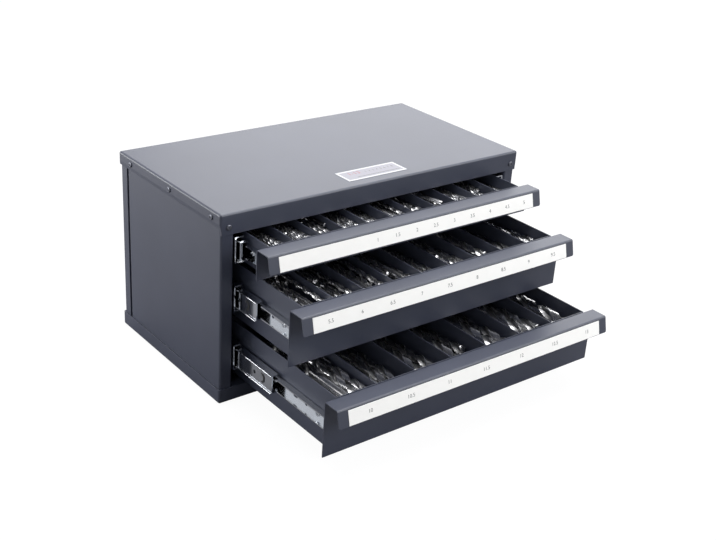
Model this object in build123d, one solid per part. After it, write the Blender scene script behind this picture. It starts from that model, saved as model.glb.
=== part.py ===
from build123d import *
import math
import os
import random
from dataclasses import dataclass

# A small steel cabinet on a flat base, with three drawers of drill bits on ball-bearing slides.
# X runs to the right, Y to the back and Z up; the origin is the centre of the base's underside.
# The drawers stand pulled out as far as the photograph shows them. All sizes are in millimetres.

# Case
CASE_WIDTH = 380.0
CASE_SHEET = 1.5
BASE_RAIL = 15.5  # height of the base pan's upturned edge
BASE_RETURN = 12.0  # flange folded back from the top of the front rail
FLOOR_PLATE_THICKNESS = 3.0  # its weight keeps the case from tipping when the drawers are out
FLOOR_PLATE_HALF = 165.0
FLOOR_PLATE_SETBACK = 45.0  # behind the case front
FLOOR_PLATE_GAP = 8.0  # from the back of the case
HEADER = 21.0  # height of the top cover's front edge
HEADER_RETURN = 10.0
COVER_LIP = 14.0  # height of the top cover's side and back edges
COVER_TAPER = 8.0  # height of the slanted step at the header's lower corners
STILE = 15.5  # face width of a side panel's front edge
STILE_RETURN = 13.0
REAR_RETURN = 11.0
REAR_WRAP = 14.0  # how far the back panel's edges come round the sides
REAR_SLIT = 2.2  # open slit between the side panel and the back panel's edge
BEND_RADIUS = 2.2  # outside radius of every fold in the case, and room left for it at a panel's ends

# Drawer fronts and trays
FRONT_SHEET = 1.0
FRONT_SIDE_GAP = 1.5
FRONT_BASE_GAP = 1.9
FRONT_TOP_GAP = 3.0
FRONT_SPACING = 6.3  # gap between one front and the next
PULL_DEPTH = 19.0  # flange that stands forward from the top of a front
PULL_DROP = 17.0  # height of the lip that hangs from the flange
PULL_SLANT = 4.0  # how far the lip leans forward at its foot
PULL_CORNER = 2.0  # rounded lower corners of the lip
PULL_BEND = 1.8
TRAY_SHEET = 0.8
TRAY_END_PLAY = 25.0  # free length in a compartment beside the longest bit
BACK_CLEARANCE = 19.2  # from a closed tray to the back panel
DIVIDER_SHEET = 0.8
DIVIDER_TAB = 6.0
DIVIDER_BEND = 1.2
DIVIDER_DROP = 0.8  # divider top below the tray's rim
STRIP_THICKNESS = 0.4
STRIP_END_MARGIN = 11.0
STRIP_EDGE_MARGIN = 0.5
TOP_LABEL_SIZE = (75.0, 25.0, 0.2)
TOP_LABEL_SHIFT = 5.0  # to the right of the middle
TOP_LABEL_SETBACK = 13.0

# Ball-bearing slides: U is measured from the post's face towards the tray
SLIDE_THICKNESS = 12.7
SLIDE_SEAT_GAP = 0.3  # free play between the front's edge and the post's face
OUTER_HEIGHT = 27.0
OUTER_DEPTH = 9.3
OUTER_SHEET = 1.2
OUTER_LIP = 0.8
OUTER_SETBACK = 1.0  # behind the back face of a closed front
OUTER_LENGTH = 180.0
MID_STANDOFF = 2.0  # from the post's face to the middle member's flanges
MID_RIB = 1.4  # how far the flanges stand out from the web towards the post
MID_DEPTH = 8.4
MID_EDGE = 0.45  # rounding of the flanges' edges
MID_SHEET = 1.0
MID_LIP = 0.7
MID_LENGTH = 160.0
MID_SETBACK = 14.0  # behind the case front when closed
INNER_DEPTH = 6.3
INNER_SHEET = 1.0
INNER_LENGTH = 172.0
INNER_SETBACK = 1.0
SLIDE_BEND = 1.0
BALL_CLEARANCE = 0.1
OUTER_BALL = 2.2
INNER_BALL = 2.0
OUTER_BALL_PLACE = 5.8
INNER_BALL_PLACE = 7.7
CAGE_STRIP = 0.5
OUTER_CAGE_WIDTH = 3.7
INNER_CAGE_WIDTH = 3.1
CAGE_POCKET_GAP = 0.04
OUTER_CAGE_LENGTH = 70.0
INNER_CAGE_LENGTH = 60.0
OUTER_CAGE_PLACE = 48.0  # start behind the case front, drawer closed
INNER_CAGE_PLACE = 65.5
OUTER_CAGE_BALLS = 6
INNER_CAGE_BALLS = 5
OUTER_CAGE_SHARE = 0.25  # of the drawer's travel
INNER_CAGE_SHARE = 0.75
BUMPER_RADIUS = 6.0
BUMPER_WIDTH = 2.2
BUMPER_HEIGHT = 9.5
BUMPER_THICKNESS = 0.5
BUMPER_SETBACK = 12.0
ACCESS_HOLE = 4.0
ACCESS_SETBACK = 30.0
SLOT_LENGTH = 6.5
SLOT_WIDTH = 3.4
SLOT_SETBACK = 60.0
ROUND_HOLE = 3.4
ROUND_SETBACK = 43.0

# Posts that carry the slides inside the case
POST_FACE = 20.0
POST_FOOT = 8.0
POST_SCREW_ROOM = 5.0  # from a post's top to the cover screws' line
FRONT_POST_SETBACK = 22.0
REAR_POST_SETBACK = 152.0

# Screws
SCREW_SHANK = 3.0
SCREW_HEAD = 5.4
SCREW_HEAD_HEIGHT = 1.4
SCREW_HOLE_GAP = 0.2  # hole larger than the shank
SCREW_REACH = 4.2  # shank length under the head
SCREW_SLOT = 0.9
SCREW_SLOT_DEPTH = 0.6
SCREW_SLOT_SPAN = 3.2
COVER_SCREW_SETBACKS = (16.0, 95.0, 175.0)
COVER_SCREW_DROP = 7.0
HEADER_SCREW_INSET = 9.3
HEADER_SCREW_DROP = 13.5
INNER_SCREW_PLACES = (24.0, 94.0, 158.0)  # behind the tray's front

# Drill bits: a jobber bit up to each diameter has the length beside it
JOBBER_LENGTHS = (
    (3.0, 61.0), (3.35, 65.0), (3.75, 70.0), (4.25, 75.0), (4.75, 80.0), (5.3, 86.0),
    (6.0, 93.0), (6.7, 101.0), (7.5, 109.0), (8.5, 117.0), (9.5, 125.0), (10.6, 133.0),
    (11.8, 142.0), (13.2, 151.0),
)
POINT_ANGLE = 118.0
SHANK_CHAMFER = 0.08  # of the diameter
BIT_GAP = 0.15  # least gap round each bit
HEAP_FREE = 4.6  # least height left free under the tray's rim
HEAP_DEPTH = 17.5  # from the rim to the top of the laid layers, at most
HEAP_SLACK = 1.0  # room over the laid layers for the loose bits, as a share of their diameter
CROSS_REACH = (0.42, 0.5)  # how far from the middle a crossed bit's ends lie, as shares of the free width
POINT_FRONT_SHARE = 0.85  # of the bits, whose points face the front
FRONT_BIAS = 7  # power that gathers the bits towards the front of their compartment
FALL_STEP = 1.0
CREEP_STEP = 0.05
LOOSE_TRIES = 60
LOOSE_FRONT = (-0.3, 1.0)  # limits of a loose bit's front end, as shares of half the free width to the right
HEAP_SEED = 5


@dataclass
class Drawer:
    name: str
    height: float  # of its front
    bins: int
    pulled: float  # from closed
    first_bit: float  # diameter in the leftmost compartment
    bit_step: float
    laid_layers: int  # of bits side by side, on top of those that lie across one another
    loose_bits: int  # at most, thrown on top of the laid ones
    base: float = 0.0  # underside above the ground, set when the drawers are stacked


DRAWERS = [
    Drawer("bottom", 58.0, 7, 149.0, 10.0, 0.5, 2, 3),
    Drawer("middle", 58.0, 9, 91.0, 5.5, 0.5, 3, 5),
    Drawer("top", 31.0, 11, 36.0, 3.0, 0.2, 4, 8),
]

# The drawers are stacked from the base up, and the case closes round them.
level = BASE_RAIL + FRONT_BASE_GAP
for drawer in DRAWERS:
    drawer.base = level
    level += drawer.height + FRONT_SPACING
OPENING_TOP = level - FRONT_SPACING + FRONT_TOP_GAP
CASE_HEIGHT = OPENING_TOP + HEADER
TRAY_LENGTH = JOBBER_LENGTHS[-1][1] + TRAY_END_PLAY + 2 * TRAY_SHEET
CASE_DEPTH = FRONT_SHEET + TRAY_LENGTH + BACK_CLEARANCE + 2 * CASE_SHEET
HALF_WIDTH = CASE_WIDTH / 2
FRONT_HALF = HALF_WIDTH - STILE - FRONT_SIDE_GAP
POST_X = FRONT_HALF - SLIDE_SEAT_GAP
TRAY_HALF = POST_X - SLIDE_THICKNESS
FRONT_Y = -CASE_DEPTH / 2
BACK_Y = CASE_DEPTH / 2
SIDE_LENGTH = CASE_DEPTH - REAR_WRAP - REAR_SLIT
MID_HEIGHT = OUTER_HEIGHT - 2 * (OUTER_SHEET + OUTER_BALL + 2 * BALL_CLEARANCE)
INNER_HEIGHT = MID_HEIGHT - 2 * (MID_SHEET + INNER_BALL + 2 * BALL_CLEARANCE)
OUTER_BALL_RISE = OUTER_HEIGHT / 2 - OUTER_SHEET - BALL_CLEARANCE - OUTER_BALL / 2
INNER_BALL_RISE = MID_HEIGHT / 2 - MID_SHEET - BALL_CLEARANCE - INNER_BALL / 2
OUTER_START = FRONT_SHEET + OUTER_SETBACK

parts = {}


def block(x, y, z):
    """A box between two limits on each axis."""
    size = (x[1] - x[0], y[1] - y[0], z[1] - z[0])
    centre = ((x[0] + x[1]) / 2, (y[0] + y[1]) / 2, (z[0] + z[1]) / 2)
    return Pos(*centre) * Box(*size)


def both_sides(right):
    """A right-hand piece and its mirror image."""
    return [*right.solids(), *mirror(right, about=Plane.YZ).solids()]


def folded(points, thickness, radius, side, plane, length):
    """A sheet folded along an outline of its outer face, extruded square to the plane."""
    outer = FilletPolyline(*points, radius=radius)
    section = make_face(offset(outer, amount=thickness, side=side).edges())
    return extrude(plane * section, amount=length)


def rod(start, direction, radius, length):
    """A cylinder that starts at a point and runs along a direction."""
    return Plane(origin=start, z_dir=direction) * Cylinder(
        radius, length, align=(Align.CENTER, Align.CENTER, Align.MIN)
    )


def pan_screw(seat, outward, reach):
    """A screw whose head sits on the point seat and faces outward, with a crossed slot."""
    inward = tuple(-v for v in outward)
    head = Cylinder(SCREW_HEAD / 2, SCREW_HEAD_HEIGHT, align=(Align.CENTER, Align.CENTER, Align.MIN))
    rim = head.edges().group_by(Axis.Z)[-1]
    head = fillet(rim, SCREW_HEAD_HEIGHT / 2)
    slot_z = SCREW_HEAD_HEIGHT - SCREW_SLOT_DEPTH / 2
    head -= Pos(0, 0, slot_z) * Box(SCREW_SLOT_SPAN, SCREW_SLOT, SCREW_SLOT_DEPTH)
    head -= Pos(0, 0, slot_z) * Box(SCREW_SLOT, SCREW_SLOT_SPAN, SCREW_SLOT_DEPTH)
    return Plane(origin=seat, z_dir=outward) * head + rod(seat, inward, SCREW_SHANK / 2, reach)


def screw_hole(seat, outward, reach):
    """The hole that a screw passes through, open on both sides."""
    start = tuple(p + v * reach for p, v in zip(seat, outward))
    inward = tuple(-v for v in outward)
    return rod(start, inward, (SCREW_SHANK + SCREW_HOLE_GAP) / 2, 2 * reach)


def cover_screw_seats():
    """Where the right-hand cover screws sit, each with the direction its head faces."""
    seats = [
        ((HALF_WIDTH, FRONT_Y + setback, CASE_HEIGHT - COVER_SCREW_DROP), (1, 0, 0))
        for setback in COVER_SCREW_SETBACKS
    ]
    seats.append(
        ((HALF_WIDTH - HEADER_SCREW_INSET, FRONT_Y, CASE_HEIGHT - HEADER_SCREW_DROP), (0, -1, 0))
    )
    return seats


def drill_cover_holes(sheet):
    """The sheet with a hole for every cover screw, on both sides of the case."""
    for seat, outward in cover_screw_seats():
        hole = screw_hole(seat, outward, SCREW_REACH)
        sheet = sheet - hole - mirror(hole, about=Plane.YZ)
    return sheet


def pan(width, depth, height, sheet, radius):
    """An open pan, folded up on four sides, standing on z = 0 about the middle of its floor."""
    outer = Box(width, depth, height, align=(Align.CENTER, Align.CENTER, Align.MIN))
    outer = fillet(outer.edges().filter_by(Axis.Z) + outer.faces().sort_by(Axis.Z)[0].edges(), radius)
    inner = Pos(0, 0, sheet) * Box(
        width - 2 * sheet, depth - 2 * sheet, height, align=(Align.CENTER, Align.CENTER, Align.MIN)
    )
    inner_edges = inner.edges().filter_by(Axis.Z) + inner.faces().sort_by(Axis.Z)[0].edges()
    return outer - fillet(inner_edges, radius - sheet)


def base_pan():
    """The floor of the case, its edges turned up and the front one folded back inside."""
    shell = pan(CASE_WIDTH, CASE_DEPTH, BASE_RAIL, CASE_SHEET, BEND_RADIUS)
    inside = HALF_WIDTH - STILE - FRONT_SIDE_GAP
    return shell + block(
        (-inside, inside),
        (FRONT_Y + CASE_SHEET / 2, FRONT_Y + BASE_RETURN),
        (BASE_RAIL - CASE_SHEET, BASE_RAIL),
    )


def floor_plate():
    """A heavy plate spot-welded to the base pan's floor, towards the back."""
    return block(
        (-FLOOR_PLATE_HALF, FLOOR_PLATE_HALF),
        (FRONT_Y + FLOOR_PLATE_SETBACK, BACK_Y - FLOOR_PLATE_GAP),
        (CASE_SHEET, CASE_SHEET + FLOOR_PLATE_THICKNESS),
    )


def top_cover():
    """The lid of the case: top, deep front header, and lips down the sides and back."""
    shell = pan(CASE_WIDTH, CASE_DEPTH, HEADER, CASE_SHEET, BEND_RADIUS)
    shell = Pos(0, 0, CASE_HEIGHT) * mirror(shell, about=Plane.XY)
    lip_end = CASE_HEIGHT - COVER_LIP
    behind = (FRONT_Y + BEND_RADIUS, BACK_Y + CASE_SHEET)
    shell -= block((-CASE_WIDTH, CASE_WIDTH), behind, (0, lip_end))
    taper = Plane.XZ * make_face(
        Polyline(
            (HALF_WIDTH, lip_end + COVER_TAPER / 2),
            (HALF_WIDTH + CASE_SHEET, lip_end + COVER_TAPER / 2),
            (HALF_WIDTH + CASE_SHEET, 0),
            (HALF_WIDTH - CASE_SHEET, 0),
            (HALF_WIDTH - CASE_SHEET, lip_end - COVER_TAPER / 2),
            close=True,
        )
    )
    corner = extrude(taper, amount=CASE_DEPTH, both=True)
    shell = shell - corner - mirror(corner, about=Plane.YZ)
    inside = HALF_WIDTH - STILE - FRONT_SIDE_GAP
    shell += block(
        (-inside, inside),
        (FRONT_Y + CASE_SHEET / 2, FRONT_Y + HEADER_RETURN),
        (OPENING_TOP, OPENING_TOP + CASE_SHEET),
    )
    return drill_cover_holes(shell)


def side_panel():
    """The right side of the case, folded round its front stile and its rear edge."""
    def plan(inset, setback):
        return (HALF_WIDTH - inset, FRONT_Y + setback)

    outline = [
        plan(STILE, STILE_RETURN),
        plan(STILE, CASE_SHEET),
        plan(CASE_SHEET, CASE_SHEET),
        plan(CASE_SHEET, SIDE_LENGTH),
        plan(REAR_RETURN, SIDE_LENGTH),
    ]
    floor = Plane.XY.offset(BEND_RADIUS)
    panel = folded(outline, CASE_SHEET, BEND_RADIUS, Side.LEFT, floor, CASE_HEIGHT - 2 * BEND_RADIUS)
    return drill_cover_holes(panel)


def back_panel():
    """The back of the case, its edges brought round to the rear slits."""
    wrap = SIDE_LENGTH + REAR_SLIT
    outline = [
        (-HALF_WIDTH + CASE_SHEET, FRONT_Y + wrap),
        (-HALF_WIDTH + CASE_SHEET, BACK_Y - CASE_SHEET),
        (HALF_WIDTH - CASE_SHEET, BACK_Y - CASE_SHEET),
        (HALF_WIDTH - CASE_SHEET, FRONT_Y + wrap),
    ]
    floor = Plane.XY.offset(BEND_RADIUS)
    return folded(outline, CASE_SHEET, BEND_RADIUS, Side.RIGHT, floor, CASE_HEIGHT - 2 * BEND_RADIUS)


def slide_post(setback):
    """A hat-shaped post on the right side panel, whose face carries the slides."""
    wall = HALF_WIDTH - 2 * CASE_SHEET
    start = FRONT_Y + setback
    outline = [
        (wall - CASE_SHEET, start - POST_FOOT),
        (wall - CASE_SHEET, start),
        (POST_X, start),
        (POST_X, start + POST_FACE),
        (wall - CASE_SHEET, start + POST_FACE),
        (wall - CASE_SHEET, start + POST_FACE + POST_FOOT),
    ]
    floor = Plane.XY.offset(CASE_SHEET)
    height = CASE_HEIGHT - COVER_SCREW_DROP - POST_SCREW_ROOM - CASE_SHEET
    post = folded(outline, CASE_SHEET, BEND_RADIUS, Side.RIGHT, floor, height)
    for drawer in DRAWERS:
        hole = screw_hole(outer_screw_seat(drawer, setback), (-1, 0, 0), SCREW_REACH)
        post -= hole
    return post


def slide_level(drawer):
    """Height of a drawer's slides above the ground."""
    return drawer.base + drawer.height / 2


def outer_screw_seat(drawer, post_setback):
    """Where a screw's head sits inside the right outer member, in the middle of a post."""
    return (
        POST_X - OUTER_SHEET,
        FRONT_Y + post_setback + POST_FACE / 2,
        slide_level(drawer),
    )


def channel(depth, height, sheet, lip):
    """Section of a channel: web on u = 0, flanges along +u, each ending in an inward lip."""
    half = height / 2
    points = [
        (0, half),
        (depth, half),
        (depth, half - sheet - lip),
        (depth - sheet, half - sheet - lip),
        (depth - sheet, half - sheet),
        (sheet, half - sheet),
    ]
    if lip == 0:
        points = [(0, half), (depth, half), (depth, half - sheet), (sheet, half - sheet)]
    points += [(u, -v) for u, v in reversed(points)]
    face = make_face(Polyline(*points, close=True))
    corners = [v for v in face.vertices() if v.X < sheet / 2]
    return fillet(corners, SLIDE_BEND)


def mid_section():
    """Section of the middle member: a web between flanges that stand out on both sides of it."""
    half = MID_HEIGHT / 2
    web = Pos(MID_RIB + MID_SHEET / 2, 0) * Rectangle(MID_SHEET, MID_HEIGHT - MID_SHEET)
    flange = Pos(MID_DEPTH / 2, half - MID_SHEET / 2) * Rectangle(MID_DEPTH, MID_SHEET)
    flange = fillet([v for v in flange.vertices() if v.X < MID_SHEET], MID_EDGE)
    lip_middle = half - MID_SHEET - MID_LIP / 2
    lip = Pos(MID_DEPTH - MID_SHEET / 2, lip_middle) * Rectangle(MID_SHEET, MID_LIP)
    upper = flange + lip
    return (web + upper + mirror(upper, about=Plane.XZ)).face()


def slide_member(section, web_x, direction, start, length, rise):
    """A right-hand member: its section's u axis runs from web_x along direction (-1 or +1)."""
    plane = Plane(origin=(web_x, start, rise), x_dir=(direction, 0, 0), z_dir=(0, direction, 0))
    return extrude(plane * section, amount=length * direction)


def outer_member(drawer):
    """The member screwed to the posts, on the right."""
    section = channel(OUTER_DEPTH, OUTER_HEIGHT, OUTER_SHEET, OUTER_LIP)
    start = FRONT_Y + OUTER_START
    member = slide_member(section, POST_X, -1, start, OUTER_LENGTH, slide_level(drawer))
    for setback in (FRONT_POST_SETBACK, REAR_POST_SETBACK):
        member -= screw_hole(outer_screw_seat(drawer, setback), (-1, 0, 0), SCREW_REACH)
    return member


def mid_member(drawer):
    """The member between the other two, on the right, half as far out as its drawer."""
    start = FRONT_Y + MID_SETBACK - drawer.pulled / 2
    level = slide_level(drawer)
    member = slide_member(mid_section(), POST_X - MID_STANDOFF, -1, start, MID_LENGTH, level)
    for place in (start + ACCESS_SETBACK, start + MID_LENGTH - ACCESS_SETBACK):
        member -= rod((POST_X, place, level), (-1, 0, 0), ACCESS_HOLE / 2, SLIDE_THICKNESS)
    return member


def inner_member(drawer):
    """The member screwed to the tray's side, on the right."""
    section = channel(INNER_DEPTH, INNER_HEIGHT, INNER_SHEET, 0)
    tray_front = FRONT_Y + FRONT_SHEET - drawer.pulled
    start = tray_front + INNER_SETBACK
    level = slide_level(drawer)
    member = slide_member(section, TRAY_HALF, 1, start, INNER_LENGTH, level)
    slot = Plane(origin=(TRAY_HALF, tray_front + SLOT_SETBACK, level), x_dir=(0, 1, 0), z_dir=(1, 0, 0))
    member -= extrude(slot * SlotOverall(SLOT_LENGTH, SLOT_WIDTH), amount=SLIDE_THICKNESS)
    round_start = (TRAY_HALF, tray_front + ROUND_SETBACK, level)
    member -= rod(round_start, (1, 0, 0), ROUND_HOLE / 2, SLIDE_THICKNESS)
    for place in INNER_SCREW_PLACES:
        member -= screw_hole(inner_screw_seat(drawer, place), (1, 0, 0), INNER_SHEET * 2)
    return member


def inner_screw_seat(drawer, place):
    """Where a screw's head sits inside the right inner member."""
    tray_front = FRONT_Y + FRONT_SHEET - drawer.pulled
    return (TRAY_HALF + INNER_SHEET, tray_front + place, slide_level(drawer))


def bumper(drawer):
    """The curved plastic stop on the outside of the right middle member's web."""
    start = FRONT_Y + MID_SETBACK - drawer.pulled / 2 + BUMPER_SETBACK
    web = POST_X - MID_STANDOFF - MID_RIB
    ring = Circle(BUMPER_RADIUS) - Circle(BUMPER_RADIUS - BUMPER_WIDTH)
    arc = ring & (Pos(-BUMPER_RADIUS / 2, 0) * Rectangle(BUMPER_RADIUS, BUMPER_HEIGHT))
    place = Plane(origin=(web, start + BUMPER_RADIUS, slide_level(drawer)), x_dir=(0, 1, 0), z_dir=(1, 0, 0))
    return extrude(place * arc, amount=BUMPER_THICKNESS)


def ball_places(drawer, start, length, count, travel_share):
    """Y of each ball in a row, for a cage that moves by its share of the drawer's travel."""
    first = FRONT_Y + start - drawer.pulled * travel_share
    pitch = length / count
    return [first + pitch * (n + 0.5) for n in range(count)]


def cage_and_balls(drawer, start, length, count, share, place_u, rise, ball, width):
    """The right-hand strips of a ball cage, above and below, and the balls they carry."""
    x = POST_X - place_u
    ys = ball_places(drawer, start, length, count, share)
    first = FRONT_Y + start - drawer.pulled * share
    strips = []
    balls = []
    for sign in (1, -1):
        z = slide_level(drawer) + sign * rise
        strip = block(
            (x - width / 2, x + width / 2), (first, first + length), (z - CAGE_STRIP / 2, z + CAGE_STRIP / 2)
        )
        for y in ys:
            strip -= Pos(x, y, z) * Cylinder((ball + CAGE_POCKET_GAP) / 2, CAGE_STRIP * 2)
            balls.append(Pos(x, y, z) * Sphere(ball / 2))
        strips.append(strip)
    return strips, balls


def drawer_front(drawer):
    """The front sheet, folded forward at its top and down again as the pull."""
    profile = [
        (0, 0),
        (0, drawer.height),
        (-PULL_DEPTH, drawer.height),
        (-PULL_DEPTH - PULL_SLANT, drawer.height - PULL_DROP),
    ]
    tray_front = FRONT_Y + FRONT_SHEET - drawer.pulled
    plane = Plane(origin=(-FRONT_HALF, tray_front, drawer.base), x_dir=(0, 1, 0), z_dir=(1, 0, 0))
    sheet = folded(profile, FRONT_SHEET, PULL_BEND, Side.LEFT, plane, 2 * FRONT_HALF)
    lip_y = tray_front - PULL_DEPTH - PULL_SLANT / 2
    corners = [
        edge
        for edge in sheet.edges()
        if edge.center().Y < lip_y
        and abs(abs(edge.center().X) - FRONT_HALF) < FRONT_SHEET
        and abs(edge.center().Z - (drawer.base + drawer.height - PULL_DROP)) < FRONT_SHEET
        and abs(edge.length - FRONT_SHEET) < FRONT_SHEET / 2
    ]
    return fillet(corners, PULL_CORNER)


def label_strip(drawer):
    """The plain strip on the lip's face, where the size numbers stand."""
    run = math.hypot(PULL_SLANT, PULL_DROP)
    along = Vector(-PULL_SLANT, -PULL_DROP) / run
    outward = Vector(-PULL_DROP, PULL_SLANT) / run
    top = Vector(-PULL_DEPTH, drawer.height) + along * (PULL_BEND + STRIP_EDGE_MARGIN)
    foot = Vector(-PULL_DEPTH, drawer.height) + along * (run - STRIP_EDGE_MARGIN)
    corners = [top, foot, foot + outward * STRIP_THICKNESS, top + outward * STRIP_THICKNESS]
    face = make_face(Polyline(*[(c.X, c.Y) for c in corners], close=True))
    half = FRONT_HALF - STRIP_END_MARGIN
    tray_front = FRONT_Y + FRONT_SHEET - drawer.pulled
    plane = Plane(origin=(-half, tray_front, drawer.base), x_dir=(0, 1, 0), z_dir=(1, 0, 0))
    return extrude(plane * face, amount=2 * half)


def tray(drawer):
    """The open box behind a front, with the holes for its slide screws."""
    front = FRONT_Y + FRONT_SHEET - drawer.pulled
    shell = block(
        (-TRAY_HALF, TRAY_HALF), (front, front + TRAY_LENGTH), (drawer.base, drawer.base + drawer.height)
    )
    inner = TRAY_HALF - TRAY_SHEET
    shell -= block(
        (-inner, inner),
        (front + TRAY_SHEET, front + TRAY_LENGTH - TRAY_SHEET),
        (drawer.base + TRAY_SHEET, drawer.base + drawer.height + TRAY_SHEET),
    )
    for place in INNER_SCREW_PLACES:
        hole = screw_hole(inner_screw_seat(drawer, place), (1, 0, 0), INNER_SHEET * 2)
        shell = shell - hole - mirror(hole, about=Plane.YZ)
    return shell


def bin_limits(drawer):
    """X limits of each compartment, from wall or divider to the next."""
    inner = TRAY_HALF - TRAY_SHEET
    pitch = (2 * inner + DIVIDER_SHEET) / drawer.bins
    starts = [-inner + n * pitch for n in range(drawer.bins)]
    return [(start, start + pitch - DIVIDER_SHEET) for start in starts]


def bin_depth(drawer):
    """Y limits of the compartments between the dividers' end tabs."""
    front = FRONT_Y + FRONT_SHEET - drawer.pulled
    return (front + TRAY_SHEET + DIVIDER_SHEET, front + TRAY_LENGTH - TRAY_SHEET - DIVIDER_SHEET)


def dividers(drawer):
    """Sheets that run front to back, each with a tab folded against the front and the back wall."""
    near, far = bin_depth(drawer)
    z = (drawer.base + TRAY_SHEET, drawer.base + drawer.height - DIVIDER_DROP)
    sheets = []
    for left, right in bin_limits(drawer)[:-1]:
        outline = [
            (right + DIVIDER_TAB, near - DIVIDER_SHEET),
            (right, near - DIVIDER_SHEET),
            (right, far + DIVIDER_SHEET),
            (right + DIVIDER_TAB, far + DIVIDER_SHEET),
        ]
        floor = Plane.XY.offset(z[0])
        sheets.append(folded(outline, DIVIDER_SHEET, DIVIDER_BEND, Side.RIGHT, floor, z[1] - z[0]))
    return sheets


def segment_gap(p, q, r, s):
    """Least distance between the segments p-q and r-s, each end given as (x, y, z)."""
    d1 = [b - a for a, b in zip(p, q)]
    d2 = [b - a for a, b in zip(r, s)]
    w = [a - b for a, b in zip(p, r)]
    a = sum(v * v for v in d1)
    e = sum(v * v for v in d2)
    f = sum(u * v for u, v in zip(d2, w))
    c = sum(u * v for u, v in zip(d1, w))
    b = sum(u * v for u, v in zip(d1, d2))
    spread = a * e - b * b
    along = 0.0
    if spread > 1e-9:
        along = min(max((b * f - c * e) / spread, 0.0), 1.0)
    across = (b * along + f) / e
    if across < 0.0:
        across = 0.0
        along = min(max(-c / a, 0.0), 1.0)
    elif across > 1.0:
        across = 1.0
        along = min(max((b - c) / a, 0.0), 1.0)
    return math.dist(
        [x + along * v for x, v in zip(p, d1)],
        [x + across * v for x, v in zip(r, d2)],
    )


def bit_length(diameter):
    """Length of a jobber bit of this diameter."""
    for limit, length in JOBBER_LENGTHS:
        if diameter <= limit:
            return length
    return JOBBER_LENGTHS[-1][1]


def fits(ends, radius, heap, floor):
    """True where a bit with its axis between the two ends touches neither floor nor heap."""
    if min(ends[0][2], ends[1][2]) < floor + radius:
        return False
    return all(segment_gap(*ends, *other) >= radius + reach for *other, reach in heap)


def lowered(ends, drops):
    """The two ends of a bit's axis, each lowered by its drop."""
    return [(x, y, z - drop) for (x, y, z), drop in zip(ends, drops)]


def settle(ends, radius, heap, floor):
    """Drops a level bit onto the heap, then lets each end sink until it rests."""
    for step in (FALL_STEP, CREEP_STEP):
        for drops in ((step, step), (0.0, step), (step, 0.0)):
            while fits(lowered(ends, drops), radius, heap, floor):
                ends = lowered(ends, drops)
    return ends


def dropped(heap, drawer, diameter, front_x, rear_x, chance):
    """A bit dropped over two places across a compartment, where it ends below the rim, or else None."""
    near, far = bin_depth(drawer)
    reach = diameter / 2 + BIT_GAP
    rim = drawer.base + drawer.height - HEAP_FREE
    run = math.sqrt(bit_length(diameter) ** 2 - (rear_x - front_x) ** 2)
    free = far - near - 2 * reach - run
    start_y = near + reach + free * chance.random() ** FRONT_BIAS
    level = [(front_x, start_y, rim), (rear_x, start_y + run, rim)]
    floor = drawer.base + TRAY_SHEET
    if not fits(level, reach, heap, floor):
        return None
    ends = settle(level, reach, heap, floor)
    return (*ends, reach) if top_of(ends, reach) <= rim else None


def top_of(ends, reach):
    """Height of a bit's highest place."""
    return max(ends[0][2], ends[1][2]) + reach


def heap_of_bits(drawer, limits, diameter, chance):
    """Axis ends of the bits in one compartment, dropped one after another from the floor up."""
    reach = diameter / 2 + BIT_GAP
    middle = (limits[0] + limits[1]) / 2
    width = limits[1] - limits[0] - 2 * reach
    lanes = int((limits[1] - limits[0]) // (2 * reach))
    lane_width = (limits[1] - limits[0]) / lanes
    laid_depth = min(HEAP_DEPTH, HEAP_FREE + HEAP_SLACK * diameter) + drawer.laid_layers * diameter
    laid_from = drawer.base + drawer.height - laid_depth
    heap = []

    def drop(front_x, rear_x):
        bit = dropped(heap, drawer, diameter, front_x, rear_x, chance)
        if bit:
            heap.append(bit)
        return bit

    crossed = math.ceil((laid_from - drawer.base - TRAY_SHEET) / (2 * reach))
    for n in range(crossed):
        side = 1 if (crossed - n) % 2 else -1
        drop(*[middle + turn * width * chance.uniform(*CROSS_REACH) for turn in (side, -side)])
    for _ in range(drawer.laid_layers):
        for lane in chance.sample(range(lanes), lanes):
            place = limits[0] + lane_width * (lane + 0.5)
            drop(*[place + (lane_width / 2 - reach) * chance.uniform(-1, 1) for _ in range(2)])
    loose = 0
    for _ in range(LOOSE_TRIES):
        ends = [middle + width / 2 * chance.uniform(*reach_across) for reach_across in (LOOSE_FRONT, (-1, 1))]
        if loose < drawer.loose_bits and drop(*ends):
            loose += 1
    return [(first, second) for first, second, _ in heap]


def drill_bit(ends, diameter, length, point_back):
    """A bit as its bare form: a chamfered shank that runs into a cone-shaped point."""
    radius = diameter / 2
    chamfer_size = diameter * SHANK_CHAMFER
    point = radius / math.tan(math.radians(POINT_ANGLE / 2))
    outline = Polyline(
        (0, 0),
        (radius - chamfer_size, 0),
        (radius, chamfer_size),
        (radius, length - point),
        (0, length),
        close=True,
    )
    body = revolve(Plane.XZ * make_face(outline), Axis.Z)
    start, end = ends if point_back else reversed(ends)
    axis = Vector(*end) - Vector(*start)
    return Plane(origin=start, z_dir=axis.normalized()) * body


def drill_bits(drawer):
    """Every bit in a drawer, compartment by compartment."""
    chance = random.Random(HEAP_SEED + drawer.bins)
    bits = []
    for n, limits in enumerate(bin_limits(drawer)):
        diameter = drawer.first_bit + n * drawer.bit_step
        for ends in heap_of_bits(drawer, limits, diameter, chance):
            length = math.dist(*ends)
            bits.append(drill_bit(ends, diameter, length, chance.random() > POINT_FRONT_SHARE))
    return bits


def keep(name, solids):
    """Names a node and gathers the solids that it is made of."""
    gathered = []
    for piece in solids:
        gathered += piece.solids()
    parts[name] = Compound(label=name, children=gathered)


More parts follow.
